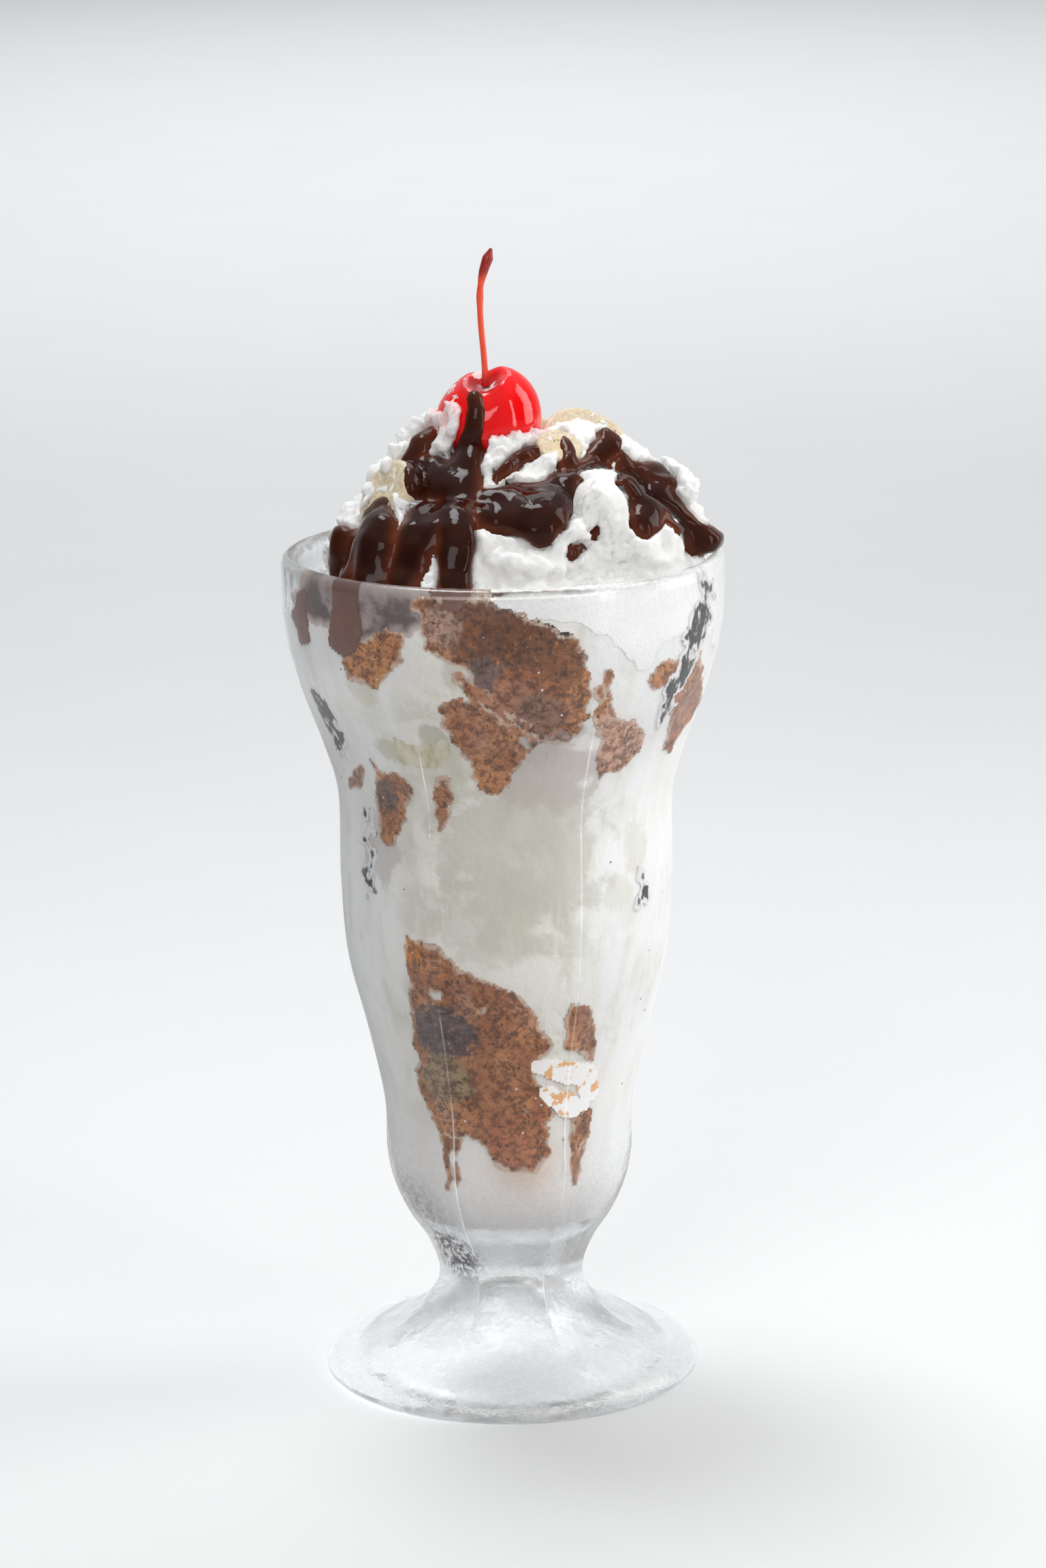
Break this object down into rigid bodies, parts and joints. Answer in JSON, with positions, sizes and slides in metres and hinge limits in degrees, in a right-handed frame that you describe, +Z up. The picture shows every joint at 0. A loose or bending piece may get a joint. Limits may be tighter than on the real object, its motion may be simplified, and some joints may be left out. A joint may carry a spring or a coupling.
{
  "type": "ice cream sundae",
  "caption": "Ice cream sundae with cookie pieces, whipped cream, hot fudge, banana and a stemmed cherry, in a tall fluted footed glass.",
  "frame": {"origin": "on the table, at the middle of the glass's foot", "axes": "+Z up along the glass's axis, -Y towards the front where the biggest cookie pieces show"},
  "size_m": [0.0962, 0.096, 0.2509],
  "materials": {
    "clear_glass": "clear pressed glass, smooth, lightly frosted by cold",
    "vanilla_ice_cream": "stands in for vanilla ice cream: off-white, soft and slightly wet",
    "whipped_cream": "stands in for whipped cream with hot fudge over it",
    "cookie": "stands in for baked cookie: crumbly and dry",
    "banana": "stands in for sliced banana: moist",
    "cherry": "stands in for a candied cherry: wet and glossy",
    "cherry_stem": "stands in for a dyed cherry stem"
  },
  "bodies": {
    "root": {"glass": "clear_glass", "ice_cream": "vanilla_ice_cream", "whipped_cream": "whipped_cream", "cookie_piece_1": "cookie", "cookie_piece_2": "cookie", "cookie_piece_3": "cookie", "cookie_piece_4": "cookie", "cookie_piece_5": "cookie", "cookie_piece_6": "cookie", "cookie_piece_7": "cookie", "cookie_piece_8": "cookie", "cookie_piece_9": "cookie", "cookie_piece_10": "cookie", "cookie_piece_11": "cookie", "cookie_piece_12": "cookie", "cookie_piece_13": "cookie", "cookie_piece_14": "cookie", "banana_piece_1": "banana", "banana_slice_1": "banana", "banana_slice_2": "banana", "banana_slice_3": "banana", "banana_slice_4": "banana", "banana_slice_5": "banana", "cherry": "cherry", "cherry_stem": "cherry_stem"}
  },
  "joints": []
}
